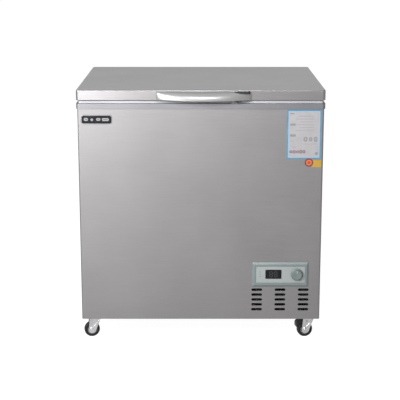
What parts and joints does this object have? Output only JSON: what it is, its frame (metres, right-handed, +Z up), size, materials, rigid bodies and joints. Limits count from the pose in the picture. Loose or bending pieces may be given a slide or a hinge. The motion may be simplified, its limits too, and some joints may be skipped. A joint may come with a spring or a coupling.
{
  "type": "chest freezer",
  "caption": "Top-opening chest freezer: brushed steel box on swivel casters, hinged foamed lid with a hooded handle, front controls and vents, stepped inner tub.",
  "frame": {"origin": "centre of the bounding box in plan, on the floor the wheels stand on", "axes": "+Z up, +X to the right seen from the front, the front faces -Y"},
  "size_m": [0.83, 0.697, 0.88],
  "materials": {
    "wrapper": "brushed",
    "back_panel": "satin",
    "base_pan": "galvanised",
    "bulkhead": "galvanised",
    "tub_liner": "embossed",
    "body_foam": "foam",
    "top_rim": "satin",
    "evaporator_coil": "copper",
    "badge_plate": "gloss",
    "front_labels": "printed",
    "control_bezel": "satin",
    "control_fascia": "satin",
    "display_window": "gloss",
    "display_board": "satin",
    "thermostat": "satin",
    "compressor_shell": "gloss",
    "compressor_base": "satin",
    "compressor_grommets": "matt",
    "terminal_cover": "satin",
    "condenser": "satin",
    "fan_shroud": "galvanised",
    "fan_motor": "satin",
    "filter_drier": "copper",
    "refrigerant_pipes": "copper",
    "rear_grille": "satin",
    "panel_screws": "zinc",
    "cord_gland": "matt",
    "drain_spout": "satin",
    "hinge_cabinet_leaves": "satin",
    "hinge_pins": "polished",
    "hinge_springs": "oiled",
    "caster_plates": "zinc",
    "caster_bolts": "zinc",
    "lid_skin": "brushed",
    "lid_liner": "gloss",
    "lid_foam": "foam",
    "lid_gasket": "satin",
    "lid_handle": "silver paint",
    "lid_screws": "zinc",
    "hinge_lid_leaves": "satin",
    "lock_housing": "satin",
    "lock_cylinder": "polished",
    "temp_knob": "satin",
    "fan_blade": "satin",
    "wire_basket": "coated",
    "drain_plug": "matt",
    "caster_fork_fl": "zinc",
    "caster_axle_fl": "zinc",
    "caster_wheel_fl": "satin",
    "caster_fork_fr": "zinc",
    "caster_axle_fr": "zinc",
    "caster_wheel_fr": "satin",
    "brake_pedal_fr": "satin",
    "caster_fork_rl": "zinc",
    "caster_axle_rl": "zinc",
    "caster_wheel_rl": "satin",
    "brake_pedal_rl": "satin",
    "caster_fork_rr": "zinc",
    "caster_axle_rr": "zinc",
    "caster_wheel_rr": "satin"
  },
  "bodies": {
    "cabinet": {"wrapper": "wrapper", "back_panel": "back_panel", "base_pan": "base_pan", "bulkhead": "bulkhead", "tub_liner": "tub_liner", "body_foam": "body_foam", "top_rim": "top_rim", "evaporator_coil": "evaporator_coil", "badge_plate": "badge_plate", "front_labels": "front_labels", "control_bezel": "control_bezel", "control_fascia": "control_fascia", "display_window": "display_window", "display_board": "display_board", "thermostat": "thermostat", "compressor_shell": "compressor_shell", "compressor_base": "compressor_base", "compressor_grommets": "compressor_grommets", "terminal_cover": "terminal_cover", "condenser": "condenser", "fan_shroud": "fan_shroud", "fan_motor": "fan_motor", "filter_drier": "filter_drier", "refrigerant_pipes": "refrigerant_pipes", "rear_grille": "rear_grille", "panel_screws": "panel_screws", "cord_gland": "cord_gland", "drain_spout": "drain_spout", "hinge_cabinet_leaves": "hinge_cabinet_leaves", "hinge_pins": "hinge_pins", "hinge_springs": "hinge_springs", "caster_plates": "caster_plates", "caster_bolts": "caster_bolts"},
    "lid": {"lid_skin": "lid_skin", "lid_liner": "lid_liner", "lid_foam": "lid_foam", "lid_gasket": "lid_gasket", "lid_handle": "lid_handle", "lid_screws": "lid_screws", "hinge_lid_leaves": "hinge_lid_leaves", "lock_housing": "lock_housing"},
    "lock": {"lock_cylinder": "lock_cylinder"},
    "knob": {"temp_knob": "temp_knob"},
    "fan": {"fan_blade": "fan_blade"},
    "basket": {"wire_basket": "wire_basket"},
    "plug": {"drain_plug": "drain_plug"},
    "swivel_fl": {"caster_fork_fl": "caster_fork_fl", "caster_axle_fl": "caster_axle_fl"},
    "wheel_fl": {"caster_wheel_fl": "caster_wheel_fl"},
    "swivel_fr": {"caster_fork_fr": "caster_fork_fr", "caster_axle_fr": "caster_axle_fr"},
    "wheel_fr": {"caster_wheel_fr": "caster_wheel_fr"},
    "brake_fr": {"brake_pedal_fr": "brake_pedal_fr"},
    "swivel_rl": {"caster_fork_rl": "caster_fork_rl", "caster_axle_rl": "caster_axle_rl"},
    "wheel_rl": {"caster_wheel_rl": "caster_wheel_rl"},
    "brake_rl": {"brake_pedal_rl": "brake_pedal_rl"},
    "swivel_rr": {"caster_fork_rr": "caster_fork_rr", "caster_axle_rr": "caster_axle_rr"},
    "wheel_rr": {"caster_wheel_rr": "caster_wheel_rr"}
  },
  "joints": [
    {"name": "lid_hinge", "type": "hinge", "parent": "cabinet", "child": "lid", "pos_m": [0, 0.3415, 0.838], "axis": [-1, 0, 0], "range_deg": [0, 85]},
    {"name": "lock_turn", "type": "hinge", "parent": "lid", "child": "lock", "pos_m": [0.118, -0.322, 0.878], "axis": [0, 0, 1], "range_deg": [0, 90]},
    {"name": "knob_turn", "type": "hinge", "parent": "cabinet", "child": "knob", "pos_m": [0.33, -0.315, 0.2438], "axis": [0, 1, 0], "range_deg": [0, 270]},
    {"name": "fan_spin", "type": "hinge", "parent": "cabinet", "child": "fan", "pos_m": [0.273, -0.197, 0.186], "axis": [0, -1, 0], "continuous": true},
    {"name": "basket_slide", "type": "slide", "parent": "cabinet", "child": "basket", "axis": [-1, 0, 0], "range_m": [0, 0.45]},
    {"name": "plug_pull", "type": "slide", "parent": "cabinet", "child": "plug", "axis": [0, 0, 1], "range_m": [0, 0.03]},
    {"name": "swivel_fl", "type": "hinge", "parent": "cabinet", "child": "swivel_fl", "pos_m": [-0.374, -0.254, 0.07], "axis": [0, 0, 1], "continuous": true},
    {"name": "roll_fl", "type": "hinge", "parent": "swivel_fl", "child": "wheel_fl", "pos_m": [-0.3828, -0.25587, 0.027], "axis": [-0.2079, 0.9781, 0], "continuous": true},
    {"name": "swivel_fr", "type": "hinge", "parent": "cabinet", "child": "swivel_fr", "pos_m": [0.374, -0.254, 0.07], "axis": [0, 0, 1], "continuous": true},
    {"name": "roll_fr", "type": "hinge", "parent": "swivel_fr", "child": "wheel_fr", "pos_m": [0.3652, -0.25587, 0.027], "axis": [-0.2079, 0.9781, 0], "continuous": true},
    {"name": "brake_fr", "type": "hinge", "parent": "swivel_fr", "child": "brake_fr", "pos_m": [0.37009, -0.25483, 0.0585], "axis": [0.2079, -0.9781, 0], "range_deg": [0, 4]},
    {"name": "swivel_rl", "type": "hinge", "parent": "cabinet", "child": "swivel_rl", "pos_m": [-0.374, 0.269, 0.07], "axis": [0, 0, 1], "continuous": true},
    {"name": "roll_rl", "type": "hinge", "parent": "swivel_rl", "child": "wheel_rl", "pos_m": [-0.37822, 0.27695, 0.027], "axis": [0.8829, 0.4695, 0], "continuous": true},
    {"name": "brake_rl", "type": "hinge", "parent": "swivel_rl", "child": "brake_rl", "pos_m": [-0.37588, 0.27253, 0.0585], "axis": [-0.8829, -0.4695, 0], "range_deg": [0, 4]},
    {"name": "swivel_rr", "type": "hinge", "parent": "cabinet", "child": "swivel_rr", "pos_m": [0.374, 0.269, 0.07], "axis": [0, 0, 1], "continuous": true},
    {"name": "roll_rr", "type": "hinge", "parent": "swivel_rr", "child": "wheel_rr", "pos_m": [0.36531, 0.26667, 0.027], "axis": [-0.2588, 0.9659, 0], "continuous": true}
  ]
}
